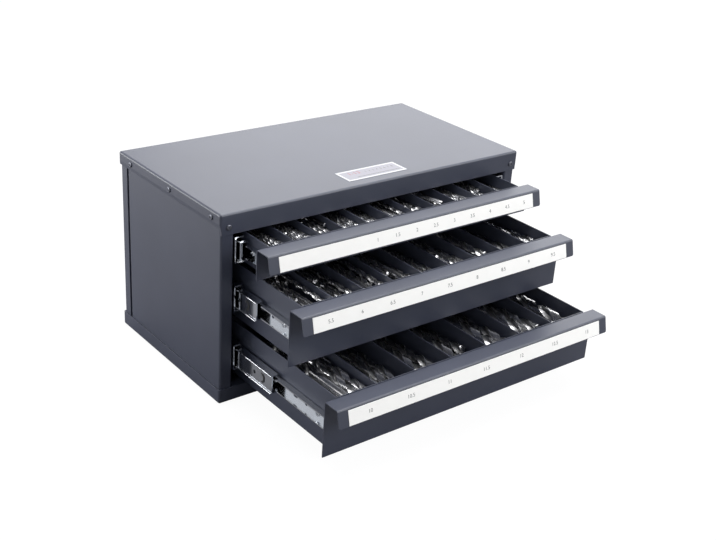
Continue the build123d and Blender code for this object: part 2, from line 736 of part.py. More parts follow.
def build_case():
    keep("base_pan", [base_pan()])
    keep("floor_plate", [floor_plate()])
    keep("top_cover", [top_cover()])
    right = side_panel()
    keep("side_panel_right", [right])
    keep("side_panel_left", [mirror(right, about=Plane.YZ)])
    keep("back_panel", [back_panel()])
    posts = [slide_post(setback) for setback in (FRONT_POST_SETBACK, REAR_POST_SETBACK)]
    keep("slide_posts_right", posts)
    keep("slide_posts_left", [mirror(post, about=Plane.YZ) for post in posts])
    members = [outer_member(drawer) for drawer in DRAWERS]
    keep("outer_slides_right", members)
    keep("outer_slides_left", [mirror(member, about=Plane.YZ) for member in members])
    screws = []
    for seat, outward in cover_screw_seats():
        screws += both_sides(pan_screw(seat, outward, SCREW_REACH))
    keep("cover_screws", screws)
    screws = []
    for drawer in DRAWERS:
        for setback in (FRONT_POST_SETBACK, REAR_POST_SETBACK):
            seat = outer_screw_seat(drawer, setback)
            screws += both_sides(pan_screw(seat, (-1, 0, 0), SCREW_REACH))
    keep("slide_screws", screws)
    width, depth, thickness = TOP_LABEL_SIZE
    near = FRONT_Y + TOP_LABEL_SETBACK
    keep(
        "top_label",
        [
            block(
                (TOP_LABEL_SHIFT - width / 2, TOP_LABEL_SHIFT + width / 2),
                (near, near + depth),
                (CASE_HEIGHT, CASE_HEIGHT + thickness),
            )
        ],
    )


def build_drawer(drawer):
    name = drawer.name
    keep(name + "_tray", [tray(drawer)])
    keep(name + "_front", [drawer_front(drawer)])
    keep(name + "_dividers", dividers(drawer))
    keep(name + "_label_strip", [label_strip(drawer)])
    keep(name + "_inner_slides", both_sides(inner_member(drawer)))
    screws = []
    for place in INNER_SCREW_PLACES:
        seat = inner_screw_seat(drawer, place)
        screws += both_sides(pan_screw(seat, (1, 0, 0), INNER_SHEET + TRAY_SHEET))
    keep(name + "_tray_screws", screws)
    keep(name + "_middle_slides", both_sides(mid_member(drawer)))
    keep(name + "_slide_bumpers", both_sides(bumper(drawer)))
    outer = cage_and_balls(
        drawer, OUTER_CAGE_PLACE, OUTER_CAGE_LENGTH, OUTER_CAGE_BALLS, OUTER_CAGE_SHARE,
        OUTER_BALL_PLACE, OUTER_BALL_RISE, OUTER_BALL, OUTER_CAGE_WIDTH,
    )
    inner = cage_and_balls(
        drawer, INNER_CAGE_PLACE, INNER_CAGE_LENGTH, INNER_CAGE_BALLS, INNER_CAGE_SHARE,
        INNER_BALL_PLACE, INNER_BALL_RISE, INNER_BALL, INNER_CAGE_WIDTH,
    )
    for place, (strips, balls) in (("outer", outer), ("inner", inner)):
        keep(f"{name}_{place}_ball_cages", [m for strip in strips for m in both_sides(strip)])
        keep(f"{name}_{place}_balls", [m for ball in balls for m in both_sides(ball)])
    keep(name + "_drill_bits", drill_bits(drawer))


def main():
    build_case()
    for drawer in DRAWERS:
        build_drawer(drawer)
    os.makedirs("parts", exist_ok=True)
    for name, node in parts.items():
        export_step(node, f"parts/{name}.step")


main()
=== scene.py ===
"""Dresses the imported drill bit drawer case: painted steel, zinc-plated slides, size labels and fluted bits."""

import math
import random

import bpy
import numpy as np
from bpy.props import FloatProperty, FloatVectorProperty, IntProperty, PointerProperty
from mathutils import Matrix, Vector


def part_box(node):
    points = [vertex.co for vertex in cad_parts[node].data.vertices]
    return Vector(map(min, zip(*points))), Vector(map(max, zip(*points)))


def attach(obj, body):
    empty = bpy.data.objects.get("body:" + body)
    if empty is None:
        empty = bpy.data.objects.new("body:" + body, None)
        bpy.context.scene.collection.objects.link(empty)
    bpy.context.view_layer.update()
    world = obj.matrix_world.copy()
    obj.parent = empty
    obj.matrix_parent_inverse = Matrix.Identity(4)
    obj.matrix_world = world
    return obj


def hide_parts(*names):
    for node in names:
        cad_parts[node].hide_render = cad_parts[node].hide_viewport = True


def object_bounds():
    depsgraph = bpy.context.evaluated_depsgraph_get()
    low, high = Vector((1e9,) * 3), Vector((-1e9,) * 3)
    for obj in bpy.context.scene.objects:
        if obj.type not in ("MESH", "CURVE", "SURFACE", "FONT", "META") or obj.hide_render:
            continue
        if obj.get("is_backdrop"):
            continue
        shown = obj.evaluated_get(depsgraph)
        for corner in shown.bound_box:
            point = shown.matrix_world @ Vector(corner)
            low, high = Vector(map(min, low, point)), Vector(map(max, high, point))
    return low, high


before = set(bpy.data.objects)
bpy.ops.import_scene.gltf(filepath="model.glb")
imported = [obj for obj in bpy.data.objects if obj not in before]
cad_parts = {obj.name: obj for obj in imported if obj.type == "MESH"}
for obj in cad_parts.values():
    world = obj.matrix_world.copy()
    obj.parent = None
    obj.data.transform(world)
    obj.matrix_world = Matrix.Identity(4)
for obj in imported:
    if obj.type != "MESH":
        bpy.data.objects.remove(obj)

bl_info = {
    "name": "Drill Bit Drawer Case",
    "version": (1, 0, 0),
    "blender": (4, 5, 0),
    "location": "View3D > Sidebar > Drawer Case",
    "description": "Finishes a steel case of drill bit drawers and sets a plain studio round it",
    "category": "Object",
}

MM = 0.001
DRAWERS = ("bottom", "middle", "top")

# The numbers on each label: the first, the step to the next, how many, and the places of the first and the
# last across the label, in millimetres from the middle of the case.
LABEL_ROWS = {
    "bottom": (10.0, 0.5, 7, -137.9, 143.2),
    "middle": (5.5, 0.5, 9, -142.6, 142.4),
    "top": (1.0, 0.5, 9, -48.6, 148.9),
}
LIP_LEAN, LIP_HEIGHT = 4.0, 17.0  # the lip that carries a label leans this far forward over its height
LIP_SLANT = math.atan2(LIP_LEAN, LIP_HEIGHT)
STRIP_THICKNESS = 0.4 * MM  # of the film that carries a drawer's numbers
PRINT_LIFT = 0.03 * MM  # how far print lies over its film, so that the two don't share a face
CAPITAL_SHARE = 0.69  # height of a capital, as a share of the font's size

CARD_BORDER = 2.5 * MM
CARD_RULE = 0.7 * MM  # width of the rule under the card's numbers
CARD_RULE_START = (0.20, 0.24)  # as shares of the card's width and depth

# One half of a fluted bit's outline, seen from the point: degrees round the axis, and share of the full radius.
# The margin is the narrow ground land behind the cutting edge; the rest of the land is relieved a little.
FLUTE_OUTLINE = (
    (0.0, 0.955), (20.0, 0.96), (25.0, 1.0), (39.0, 1.0), (52.0, 0.60), (70.0, 0.36),
    (90.0, 0.34), (110.0, 0.52), (128.0, 0.93), (153.0, 0.95),
)
POINT_HALF_ANGLE = math.radians(59)
SHANK_CHAMFER = 0.16  # of the radius
PLAIN_SHANK = 0.97  # height of the shank's last plain ring, as a share of the shank
RUNOUT = 3.0  # radii over which a flute comes to its full depth
TIP_DEPTH = 0.1  # the tip gets the flutes' painted shade as if it lay this deep
CREASE = math.radians(38)  # an edge that turns by more than this is drawn sharp

# Widths of features of the finishes, as on the real thing.
COAT_PEEL = 1.6 * MM
COAT_DRIFT = 60 * MM  # slow changes in the thickness of the powder coat
PLATING_CLOUDS = 14 * MM
FILM_RIPPLES = 9 * MM

# These features are about 0.1 mm wide or less on the real thing. That is too fine to show in the render, so
# each is drawn as coarse as it needs to be.
COAT_GRIT = 0.5 * MM
ROLLING_LINES = 0.7 * MM
GRINDING_MARKS = 0.8 * MM
MOULDED_TEXTURE = 0.4 * MM
INK_SPECKLE = 0.5 * MM
SCREW_GRAIN = 0.4 * MM
CAGE_GRAIN = 0.6 * MM
BALL_GRAIN = 0.5 * MM

ROLLING_SQUEEZE = (1.0, 0.04, 1.0)  # makes the rolling lines 25 times as long as they are wide, along Y
NOISE_RANGE = {"From Min": 0.3, "From Max": 0.7}  # where nearly all of a noise texture's values lie
FLUTE_RANGE = {"From Min": 0.06, "From Max": 0.45}  # depths from a ground land to well inside a flute

FLOOR_HALF = 6.0  # metres
FLOOR_DROP = 0.05 * MM  # under the case, so that the two don't share a face
FLOOR_GLOW_SHARE = 0.75  # of what the camera sees of the floor
SOFTBOXES = (
    # name, place, aimed at, width, height, all in metres, and power in watts
    ("softbox_behind", (1.66, 1.36, 1.05), (0.0, 0.0, 0.2), 2.4, 1.3, 20.0),
    ("softbox_left", (-0.95, 0.65, 0.22), (-0.19, 0.0, 0.12), 1.1, 0.4, 11.0),
    ("softbox_front", (1.4, -1.9, 1.2), (0.0, -0.2, 0.1), 1.8, 1.2, 41.0),
    ("softbox_above", (0.2, 0.1, 1.6), (0.0, -0.2, 0.1), 1.6, 1.2, 40.0),
)


def linear(hex_colour):
    """The linear colour of an sRGB hex value, with full alpha."""
    shares = [int(hex_colour[n:n + 2], 16) / 255 for n in (0, 2, 4)]
    return [c / 12.92 if c <= 0.04045 else ((c + 0.055) / 1.055) ** 2.4 for c in shares] + [1.0]


class SheetSteelSettings(bpy.types.PropertyGroup):
    paint_colour: FloatVectorProperty(
        name="Paint", description="Colour of the powder coat", subtype="COLOR", size=4, min=0, max=1,
        default=linear("343846"),
    )
    peel_size: FloatProperty(
        name="Peel", description="Width of the powder coat's fine waves", subtype="DISTANCE", unit="LENGTH",
        default=COAT_PEEL, min=0.2 * MM,
    )
    edge_radius: FloatProperty(
        name="Edge", description="Radius of the coat round the sheet's cut edges", subtype="DISTANCE",
        unit="LENGTH", default=0.35 * MM, min=0,
    )
    gloss_roughness: FloatProperty(
        name="Roughness", description="Roughness of the coat", subtype="FACTOR", default=0.4, min=0, max=1
    )


class SlideSettings(bpy.types.PropertyGroup):
    zinc_colour: FloatVectorProperty(
        name="Zinc", description="Colour of the zinc plating", subtype="COLOR", size=4, min=0, max=1,
        default=linear("D3D6DB"),
    )
    rolling_width: FloatProperty(
        name="Rolling lines", description="Width of the strip's rolling lines", subtype="DISTANCE",
        unit="LENGTH", default=ROLLING_LINES, min=0.1 * MM,
    )


class LabelSettings(bpy.types.PropertyGroup):
    digit_height: FloatProperty(
        name="Digit height", description="Height of the size numbers", subtype="DISTANCE", unit="LENGTH",
        default=3.6 * MM, min=MM,
    )
    ink_colour: FloatVectorProperty(
        name="Ink", description="Colour of the size numbers", subtype="COLOR", size=4, min=0, max=1,
        default=linear("55565A"),
    )
    film_colour: FloatVectorProperty(
        name="Film", description="Colour of the label strips", subtype="COLOR", size=4, min=0, max=1,
        default=linear("F4F4F2"),
    )
    card_colour: FloatVectorProperty(
        name="Card", description="Colour of the card on the top", subtype="COLOR", size=4, min=0, max=1,
        default=linear("84848C"),
    )


class BitSettings(bpy.types.PropertyGroup):
    helix_angle: FloatProperty(
        name="Helix angle", description="Angle between a flute and the bit's axis", subtype="ANGLE",
        default=math.radians(30), min=math.radians(15), max=math.radians(40),
    )
    flute_share: FloatProperty(
        name="Fluted share", description="Share of a bit's length that is fluted", subtype="FACTOR",
        default=0.66, min=0.3, max=0.9,
    )
    rings_per_turn: IntProperty(
        name="Rings a turn", description="Rings of vertices in one turn of a flute", default=14, min=8
    )
    steel_colour: FloatVectorProperty(
        name="Steel", description="Colour of the ground lands", subtype="COLOR", size=4, min=0, max=1,
        default=linear("D8D8DA"),
    )


class StudioSettings(bpy.types.PropertyGroup):
    camera_place: FloatVectorProperty(
        name="Camera", description="Where the camera stands", subtype="XYZ", unit="LENGTH", size=3,
        default=(-0.6930, -0.9220, 0.6012),
    )
    camera_azimuth: FloatProperty(
        name="Azimuth", description="Direction of the view round the case", subtype="ANGLE",
        default=math.radians(-39.117),
    )
    camera_elevation: FloatProperty(
        name="Elevation", description="Height of the view above the level", subtype="ANGLE",
        default=math.radians(25.011),
    )
    camera_roll: FloatProperty(
        name="Roll", description="Turn of the picture about the line of sight", subtype="ANGLE",
        default=math.radians(3.74),
    )
    camera_lens: FloatProperty(
        name="Lens", description="Focal length on a 36 mm frame", subtype="DISTANCE_CAMERA", default=57.19
    )
    room_light: FloatProperty(
        name="Room light", description="Strength of the even light from all round", default=0.45, min=0
    )


def node(tree, kind, sockets=None, **settings):
    """Adds a node, with its settings, and its sockets' values or the outputs that feed them."""
    made = tree.nodes.new(kind)
    for name, value in settings.items():
        setattr(made, name, value)
    for name, value in (sockets or {}).items():
        if isinstance(value, bpy.types.NodeSocket):
            tree.links.new(value, made.inputs[name])
        else:
            made.inputs[name].default_value = value
    return made


def new_material(name):
    """An empty material, its node tree and its output."""
    material = bpy.data.materials.new(name)
    material.use_nodes = True
    tree = material.node_tree
    tree.nodes.clear()
    return material, tree, node(tree, "ShaderNodeOutputMaterial")


def pattern_scale(width):
    """The texture scale at which one feature has this width."""
    return 1.0 / width


def powder_coated_steel(settings):
    """Sheet steel, folded, then powder-coated slate grey and baked: an even satin colour, with a soft
    reflection that the coat's fine orange peel breaks up, and the faint mottling of a coat that is not quite
    equally thick."""
    material, tree, output = new_material("powder_coated_steel_slate")
    place = node(tree, "ShaderNodeTexCoord").outputs["Object"]
    peel = node(tree, "ShaderNodeTexNoise", {
        "Vector": place, "Scale": pattern_scale(settings.peel_size), "Detail": 2.0, "Roughness": 0.5})
    grit = node(tree, "ShaderNodeTexNoise", {
        "Vector": place, "Scale": pattern_scale(COAT_GRIT), "Detail": 1.0})
    drift = node(tree, "ShaderNodeTexNoise", {
        "Vector": place, "Scale": pattern_scale(COAT_DRIFT), "Detail": 3.0})
    tone = node(tree, "ShaderNodeMapRange", {
        "Value": drift.outputs["Fac"], **NOISE_RANGE, "To Min": 0.93, "To Max": 1.07})
    colour = node(tree, "ShaderNodeVectorMath", {
        0: settings.paint_colour[:3], "Scale": tone.outputs["Result"]}, operation="SCALE")
    sheen = node(tree, "ShaderNodeMapRange", {
        "Value": grit.outputs["Fac"], **NOISE_RANGE,
        "To Min": settings.gloss_roughness - 0.05, "To Max": settings.gloss_roughness + 0.05})
    edges = node(tree, "ShaderNodeBevel", {"Radius": settings.edge_radius}, samples=4)
    waves = node(tree, "ShaderNodeBump", {
        "Height": peel.outputs["Fac"], "Strength": 0.12, "Distance": 0.05 * MM,
        "Normal": edges.outputs["Normal"]})
    bumps = node(tree, "ShaderNodeBump", {
        "Height": grit.outputs["Fac"], "Strength": 0.10, "Distance": 0.02 * MM,
        "Normal": waves.outputs["Normal"]})
    shader = node(tree, "ShaderNodeBsdfPrincipled", {
        "Base Color": colour.outputs["Vector"], "Roughness": sheen.outputs["Result"],
        "Normal": bumps.outputs["Normal"], "IOR": 1.5})
    tree.links.new(shader.outputs["BSDF"], output.inputs["Surface"])
    return material


def zinc_plated_steel(settings):
    """Cold-rolled strip, zinc-plated after rolling to shape: bright and faintly blue, with lines along its
    length from the rolls and cloudy patches where the plating is thicker."""
    material, tree, output = new_material("zinc_plated_steel")
    place = node(tree, "ShaderNodeTexCoord").outputs["Object"]
    stretched = node(tree, "ShaderNodeVectorMath", {0: place, 1: ROLLING_SQUEEZE}, operation="MULTIPLY")
    lines = node(tree, "ShaderNodeTexNoise", {
        "Vector": stretched.outputs["Vector"], "Scale": pattern_scale(settings.rolling_width), "Detail": 2.0})
    clouds = node(tree, "ShaderNodeTexNoise", {
        "Vector": place, "Scale": pattern_scale(PLATING_CLOUDS), "Detail": 2.0})
    tone = node(tree, "ShaderNodeMapRange", {
        "Value": clouds.outputs["Fac"], **NOISE_RANGE, "To Min": 0.92, "To Max": 1.0})
    colour = node(tree, "ShaderNodeVectorMath", {
        0: settings.zinc_colour[:3], "Scale": tone.outputs["Result"]}, operation="SCALE")
    gloss = node(tree, "ShaderNodeMapRange", {
        "Value": clouds.outputs["Fac"], **NOISE_RANGE, "To Min": 0.16, "To Max": 0.11})
    bump = node(tree, "ShaderNodeBump", {
        "Height": lines.outputs["Fac"], "Strength": 0.1, "Distance": 0.02 * MM})
    shader = node(tree, "ShaderNodeBsdfPrincipled", {
        "Base Color": colour.outputs["Vector"], "Metallic": 1.0, "Roughness": gloss.outputs["Result"],
        "Normal": bump.outputs["Normal"]})
    tree.links.new(shader.outputs["BSDF"], output.inputs["Surface"])
    return material


def plain_metal(name, hex_colour, roughness, grain_width):
    """A small steel part as it leaves its last process, with that process's grain in its gloss."""
    material, tree, output = new_material(name)
    place = node(tree, "ShaderNodeTexCoord").outputs["Object"]
    grain = node(tree, "ShaderNodeTexNoise", {
        "Vector": place, "Scale": pattern_scale(grain_width), "Detail": 3.0})
    gloss = node(tree, "ShaderNodeMapRange", {
        "Value": grain.outputs["Fac"], **NOISE_RANGE, "To Min": roughness * 0.8, "To Max": roughness * 1.2})
    bump = node(tree, "ShaderNodeBump", {
        "Height": grain.outputs["Fac"], "Strength": 0.1, "Distance": 0.02 * MM})
    shader = node(tree, "ShaderNodeBsdfPrincipled", {
        "Base Color": linear(hex_colour), "Metallic": 1.0, "Roughness": gloss.outputs["Result"],
        "Normal": bump.outputs["Normal"]})
    tree.links.new(shader.outputs["BSDF"], output.inputs["Surface"])
    return material


def ground_high_speed_steel(settings):
    """High-speed steel, its lands and shank ground bright, its flutes a little rougher and darkened by painted
    shade that deepens with the flute's depth: bright stripes wind round a duller core."""
    material, tree, output = new_material("ground_high_speed_steel")
    place = node(tree, "ShaderNodeTexCoord").outputs["Object"]
    depth = node(tree, "ShaderNodeAttribute", attribute_name="flute_depth")
    marks = node(tree, "ShaderNodeTexNoise", {
        "Vector": place, "Scale": pattern_scale(GRINDING_MARKS), "Detail": 2.0})
    # painted shade: the deeper a point lies in a flute, the darker its colour, down to 0.6 of the lands'
    flute_painted_shade = node(tree, "ShaderNodeMapRange", {
        "Value": depth.outputs["Fac"], **FLUTE_RANGE, "To Min": 1.0, "To Max": 0.6})
    colour = node(tree, "ShaderNodeVectorMath", {
        0: settings.steel_colour[:3], "Scale": flute_painted_shade.outputs["Result"]}, operation="SCALE")
    gloss = node(tree, "ShaderNodeMapRange", {
        "Value": depth.outputs["Fac"], **FLUTE_RANGE, "To Min": 0.24, "To Max": 0.33})
    bump = node(tree, "ShaderNodeBump", {
        "Height": marks.outputs["Fac"], "Strength": 0.12, "Distance": 0.03 * MM})
    shader = node(tree, "ShaderNodeBsdfPrincipled", {
        "Base Color": colour.outputs["Vector"], "Metallic": 1.0, "Roughness": gloss.outputs["Result"],
        "Normal": bump.outputs["Normal"]})
    tree.links.new(shader.outputs["BSDF"], output.inputs["Surface"])
    return material


def moulded_black_acetal():
    """The slide stops: acetal, injection-moulded black, slightly waxy, with a fine moulded texture."""
    material, tree, output = new_material("moulded_black_acetal")
    place = node(tree, "ShaderNodeTexCoord").outputs["Object"]
    texture = node(tree, "ShaderNodeTexNoise", {
        "Vector": place, "Scale": pattern_scale(MOULDED_TEXTURE), "Detail": 1.0})
    bump = node(tree, "ShaderNodeBump", {
        "Height": texture.outputs["Fac"], "Strength": 0.2, "Distance": 0.02 * MM})
    shader = node(tree, "ShaderNodeBsdfPrincipled", {
        "Base Color": linear("141416"), "Roughness": 0.42, "Normal": bump.outputs["Normal"], "IOR": 1.48})
    tree.links.new(shader.outputs["BSDF"], output.inputs["Surface"])
    return material


def vinyl_film(name, film_colour, roughness):
    """Calendered vinyl, stuck down by hand, so its gloss waves a little."""
    material, tree, output = new_material(name)
    place = node(tree, "ShaderNodeTexCoord").outputs["Object"]
    waves = node(tree, "ShaderNodeTexNoise", {
        "Vector": place, "Scale": pattern_scale(FILM_RIPPLES), "Detail": 2.0})
    tone = node(tree, "ShaderNodeMapRange", {
        "Value": waves.outputs["Fac"], **NOISE_RANGE, "To Min": 0.98, "To Max": 1.0})
    colour = node(tree, "ShaderNodeVectorMath", {
        0: film_colour[:3], "Scale": tone.outputs["Result"]}, operation="SCALE")
    bump = node(tree, "ShaderNodeBump", {
        "Height": waves.outputs["Fac"], "Strength": 0.1, "Distance": 0.1 * MM})
    shader = node(tree, "ShaderNodeBsdfPrincipled", {
        "Base Color": colour.outputs["Vector"], "Roughness": roughness, "Normal": bump.outputs["Normal"],
        "IOR": 1.5})
    tree.links.new(shader.outputs["BSDF"], output.inputs["Surface"])
    return material


def printing_ink(name, ink_colour):
    """Screen-printed ink on the film: matt, and a little uneven."""
    material, tree, output = new_material(name)
    place = node(tree, "ShaderNodeTexCoord").outputs["Object"]
    speckle = node(tree, "ShaderNodeTexNoise", {
        "Vector": place, "Scale": pattern_scale(INK_SPECKLE), "Detail": 2.0})
    tone = node(tree, "ShaderNodeMapRange", {
        "Value": speckle.outputs["Fac"], **NOISE_RANGE, "To Min": 0.85, "To Max": 1.15})
    colour = node(tree, "ShaderNodeVectorMath", {
        0: ink_colour[:3], "Scale": tone.outputs["Result"]}, operation="SCALE")
    shader = node(tree, "ShaderNodeBsdfPrincipled", {
        "Base Color": colour.outputs["Vector"], "Roughness": 0.6, "IOR": 1.5})
    tree.links.new(shader.outputs["BSDF"], output.inputs["Surface"])
    return material


def finish_nodes(names, material):
    """Gives CAD nodes a material in every slot that they have."""
    for name in names:
        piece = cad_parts[name]
        if not piece.material_slots:
            piece.data.materials.append(material)
        for material_slot in piece.material_slots:
            material_slot.material = material


def mesh_piece(name, vertices, faces, body, material, slot_name):
    """A mesh piece in place, riding on its body."""
    mesh = bpy.data.meshes.new(name)
    mesh.from_pydata(vertices, [], faces)
    mesh.validate()
    mesh.materials.append(material)
    piece = bpy.data.objects.new(name, mesh)
    bpy.context.scene.collection.objects.link(piece)
    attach(piece, body)
    return piece


def separate_solids(piece):
    """The vertices of each solid in a node, as arrays, once those that share a place are taken as one."""
    places = np.array([v.co for v in piece.data.vertices], float)
    _, first, same = np.unique(np.round(places, 7), axis=0, return_index=True, return_inverse=True)
    same = same.ravel()
    leader = list(range(len(first)))

    def lead(n):
        while leader[n] != n:
            leader[n] = leader[leader[n]]
            n = leader[n]
        return n

    for edge in piece.data.edges:
        a, b = (lead(same[v]) for v in edge.vertices)
        if a != b:
            leader[b] = a
    groups = {}
    for n, index in enumerate(first):
        groups.setdefault(lead(n), []).append(places[index])
    return [np.array(group) for group in groups.values()]


def bit_axis(points):
    """A bare bit's shank end, its point and its radius, from the vertices of its solid."""
    middle = points.mean(axis=0)
    _, _, directions = np.linalg.svd(points - middle)
    axis = directions[0]
    along = (points - middle) @ axis
    off = np.linalg.norm(points - middle - np.outer(along, axis), axis=1)
    radius = off.max()
    near_axis, end_depth = 0.4 * radius, 0.05 * radius
    central = [n for n in range(len(points)) if off[n] < near_axis]
    if not central:
        raise RuntimeError("a drill bit has no point on its axis")
    # The tip is the vertex near the axis that is farthest, along the axis, from any other vertex.
    tip = max(central, key=lambda n: np.sort(np.abs(along - along[n]))[1])
    if along[tip] < 0:
        along = -along
    shank = points[along < along.min() + end_depth].mean(axis=0)
    return shank, points[tip], radius


def fluted_bit(radius, length, settings):
    """A twist bit that stands on the origin with its point up: vertices, faces and each vertex's depth."""
    pitch = 2 * math.pi * radius / math.tan(settings.helix_angle)
    point_height = radius / math.tan(POINT_HALF_ANGLE)
    chamfer = SHANK_CHAMFER * radius
    shank_top = length * (1 - settings.flute_share)
    full_depth = shank_top + RUNOUT * radius
    shoulder = length - point_height
    count = max(6, round((shoulder - shank_top) / pitch * settings.rings_per_turn))
    levels = [shank_top + (shoulder - shank_top) * n / count for n in range(count + 1)]
    outline = [(math.radians(angle + half), share) for half in (0, 180) for angle, share in FLUTE_OUTLINE]

    rings = [[(radius - chamfer, angle, 0.0) for angle, _ in outline]]
    rings += [[(radius, angle, z) for angle, _ in outline] for z in (chamfer, shank_top * PLAIN_SHANK)]
    for z in levels:
        cut = min(max((z - shank_top) / (full_depth - shank_top), 0.0), 1.0)
        cut = math.sin(cut * math.pi / 2)
        rings.append([(radius * (1 - cut * (1 - share)), angle, z) for angle, share in outline])
    rings.append([
        (radius * share, angle, length - radius * share / math.tan(POINT_HALF_ANGLE))
        for angle, share in outline
    ])

    vertices, depths = [(0.0, 0.0, 0.0)], [0.0]
    for ring in rings:
        for reach, angle, z in ring:
            turn = angle + 2 * math.pi * max(z - shank_top, 0.0) / pitch
            vertices.append((reach * math.cos(turn), reach * math.sin(turn), z))
            depths.append(1 - reach / radius if z > shank_top else 0.0)
    vertices.append((0.0, 0.0, length))
    depths.append(TIP_DEPTH)

    around = len(outline)
    faces = []
    for n in range(around):
        follow = (n + 1) % around
        faces.append((0, 1 + follow, 1 + n))
        for ring in range(len(rings) - 1):
            low, high = 1 + ring * around, 1 + (ring + 1) * around
            faces.append((low + n, low + follow, high + follow, high + n))
        last = 1 + (len(rings) - 1) * around
        faces.append((last + n, last + follow, len(vertices) - 1))
    return vertices, faces, depths


def number_text(value):
    """A size as it is printed: no decimals where there are none."""
    return f"{value:g}"


def text_mesh(text, height):
    """A flat mesh of a short text, its capitals this high, centred on the origin in X and Y."""
    curve = bpy.data.curves.new("number", "FONT")
    curve.body = text
    curve.size = height / CAPITAL_SHARE
    curve.align_x = "CENTER"
    curve.align_y = "CENTER"
    curve.resolution_u = 3
    letters = bpy.data.objects.new("number", curve)
    bpy.context.scene.collection.objects.link(letters)
    bpy.context.view_layer.update()
    mesh = bpy.data.meshes.new_from_object(letters.evaluated_get(bpy.context.evaluated_depsgraph_get()))
    vertices = [tuple(v.co) for v in mesh.vertices]
    faces = [tuple(p.vertices) for p in mesh.polygons]
    bpy.data.objects.remove(letters)
    bpy.data.curves.remove(curve)
    bpy.data.meshes.remove(mesh)
    return vertices, faces


def flat_quads(corners, height):
    """Vertices and faces of level rectangles, each given by its least and greatest X and Y."""
    vertices, faces = [], []
    for left, front, right, back in corners:
        start = len(vertices)
        vertices += [(left, front, height), (right, front, height), (right, back, height), (left, back, height)]
        faces.append(tuple(range(start, start + 4)))
    return vertices, faces


class DRAWERCASE_OT_paint(bpy.types.Operator):
    """Coat the case, the drawer fronts, the trays and the dividers"""

    bl_idname = "drawer_case.paint"
    bl_label = "Paint Sheet Steel"

    def execute(self, context):
        paint = powder_coated_steel(context.scene.sheet_steel)
        names = ["base_pan", "top_cover", "side_panel_left", "side_panel_right", "back_panel"]
        for drawer in DRAWERS:
            names += [f"{drawer}_{part}" for part in ("tray", "front", "dividers")]
        finish_nodes(names, paint)
        finish_nodes(["cover_screws"], plain_metal("blackened_screw_steel", "6A6C74", 0.4, SCREW_GRAIN))
        return {"FINISHED"}


class DRAWERCASE_OT_slides(bpy.types.Operator):
    """Plate the slides and posts, and finish their cages, balls and stops"""

    bl_idname = "drawer_case.slides"
    bl_label = "Finish Slides"

    def execute(self, context):
        zinc = zinc_plated_steel(context.scene.slide_metal)
        names = ["slide_posts_left", "slide_posts_right", "outer_slides_left", "outer_slides_right",
                 "slide_screws", "floor_plate"]
        cages, balls = [], []
        for drawer in DRAWERS:
            names += [f"{drawer}_{part}" for part in ("inner_slides", "middle_slides", "tray_screws")]
            cages += [f"{drawer}_outer_ball_cages", f"{drawer}_inner_ball_cages"]
            balls += [f"{drawer}_outer_balls", f"{drawer}_inner_balls"]
        finish_nodes(names, zinc)
        finish_nodes(cages, plain_metal("pressed_cage_steel", "A9ABAE", 0.4, CAGE_GRAIN))
        finish_nodes(balls, plain_metal("polished_bearing_steel", "E0E1E3", 0.08, BALL_GRAIN))
        finish_nodes([f"{drawer}_slide_bumpers" for drawer in DRAWERS], moulded_black_acetal())
        return {"FINISHED"}


class DRAWERCASE_OT_labels(bpy.types.Operator):
    """Print the size numbers on the drawers' label strips"""

    bl_idname = "drawer_case.labels"
    bl_label = "Print Labels"

    def execute(self, context):
        settings = context.scene.label_print
        film = vinyl_film("white_vinyl_film", settings.film_colour, 0.35)
        ink = printing_ink("grey_printing_ink", settings.ink_colour)
        finish_nodes([f"{drawer}_label_strip" for drawer in DRAWERS], film)
        upward = Vector((0.0, math.sin(LIP_SLANT), math.cos(LIP_SLANT)))
        outward = Vector((0.0, -math.cos(LIP_SLANT), math.sin(LIP_SLANT)))
        for drawer in DRAWERS:
            low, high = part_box(f"{drawer}_label_strip")
            centre = (low + high) / 2 + outward * (STRIP_THICKNESS / 2 + PRINT_LIFT)
            first, step, count, left, right = LABEL_ROWS[drawer]
            vertices, faces = [], []
            for n in range(count):
                across = left + (right - left) * n / (count - 1)
                middle = Vector((across * MM, centre.y, centre.z))
                start = len(vertices)
                flat, shapes = text_mesh(number_text(first + step * n), settings.digit_height)
                vertices += [middle + Vector((x, 0, 0)) + upward * y for x, y, _ in flat]
                faces += [tuple(start + v for v in shape) for shape in shapes]
            mesh_piece(f"{drawer}_size_numbers", vertices, faces, f"{drawer}_drawer", ink, "label_film")
        return {"FINISHED"}


